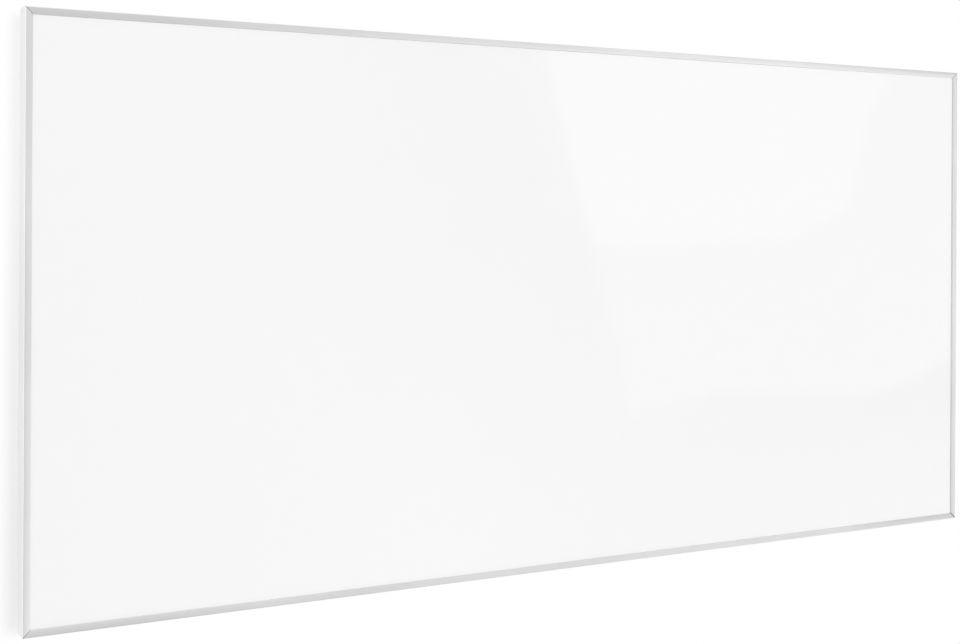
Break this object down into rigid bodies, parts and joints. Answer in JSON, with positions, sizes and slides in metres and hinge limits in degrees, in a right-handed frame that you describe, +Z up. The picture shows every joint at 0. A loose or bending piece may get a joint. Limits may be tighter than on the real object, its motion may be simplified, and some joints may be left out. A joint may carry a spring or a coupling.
{
  "type": "infrared panel heater",
  "caption": "Wall-hung infrared panel heater: gloss white front panel in a slim mitred aluminium frame, lifted onto wall rails, with a rear terminal box and power rocker.",
  "frame": {"origin": "centre of the four wall screw holes, which is the panel's centre, on the wall's face", "axes": "+X to the right seen from the front, +Y into the wall so the white panel faces -Y, +Z up"},
  "size_m": [1.2, 0.047, 0.6],
  "materials": {
    "gloss_white_enamel": "gloss",
    "satin_aluminium": "satin",
    "mill_aluminium": "satin",
    "zinc_plated_steel": "satin",
    "cast_aluminium": "matte",
    "grey_silicone": "matte",
    "carbon_laminate": "matte",
    "copper": "satin",
    "polyester_film": "satin",
    "bright_foil": "polished",
    "insulation_board": "matte",
    "white_box_plastic": "matte",
    "block_plastic": "satin",
    "brass": "satin",
    "grey_nylon": "satin",
    "black_switch_plastic": "satin",
    "cutout_resin": "matte",
    "brown_lead": "satin",
    "blue_lead": "satin",
    "green_lead": "satin"
  },
  "bodies": {
    "wall_rails": {"wall_rail_upper": "zinc_plated_steel", "wall_rail_lower": "zinc_plated_steel"},
    "heater": {"frame_top": "satin_aluminium", "frame_bottom": "satin_aluminium", "frame_left": "satin_aluminium", "frame_right": "satin_aluminium", "corner_key_top_left": "cast_aluminium", "corner_key_top_right": "cast_aluminium", "corner_key_bottom_left": "cast_aluminium", "corner_key_bottom_right": "cast_aluminium", "corner_grub_screws": "zinc_plated_steel", "front_panel": "gloss_white_enamel", "edge_gasket": "grey_silicone", "heating_sheet": "carbon_laminate", "busbar_left": "copper", "busbar_right": "copper", "insulating_sheet": "polyester_film", "reflector_foil": "bright_foil", "insulation_board": "insulation_board", "back_plate": "mill_aluminium", "back_plate_screws": "zinc_plated_steel", "hanger_upper_left": "zinc_plated_steel", "hanger_upper_right": "zinc_plated_steel", "hanger_lower_left": "zinc_plated_steel", "hanger_lower_right": "zinc_plated_steel", "hanger_nuts": "zinc_plated_steel", "hanger_screws": "zinc_plated_steel", "terminal_box_base": "white_box_plastic", "terminal_box_lid": "white_box_plastic", "terminal_box_seal": "grey_silicone", "terminal_lid_screws": "zinc_plated_steel", "box_rivets": "mill_aluminium", "terminal_block": "block_plastic", "terminal_clamps": "brass", "terminal_screws": "zinc_plated_steel", "block_screws": "zinc_plated_steel", "gland_body": "grey_nylon", "gland_locknut": "grey_nylon", "gland_seal": "grey_silicone", "gland_dome_nut": "grey_nylon", "switch_housing": "black_switch_plastic", "switch_contacts": "brass", "thermal_cutout": "cutout_resin", "cutout_terminals": "brass", "plate_grommet": "grey_silicone", "earth_lug": "brass", "earth_screw": "zinc_plated_steel", "earth_nut": "zinc_plated_steel", "lead_live": "brown_lead", "lead_switched": "brown_lead", "lead_heater": "brown_lead", "lead_neutral": "blue_lead", "lead_earth": "green_lead"},
    "rocker": {"switch_rocker": "black_switch_plastic"}
  },
  "joints": [
    {"name": "lift_off", "type": "slide", "parent": "wall_rails", "child": "heater", "axis": [0, 0, 1], "range_m": [0, 0.015]},
    {"name": "power_rocker", "type": "hinge", "parent": "heater", "child": "rocker", "pos_m": [0.4, -0.0147, -0.2695], "axis": [0, -1, 0], "range_deg": [0, 20]}
  ]
}
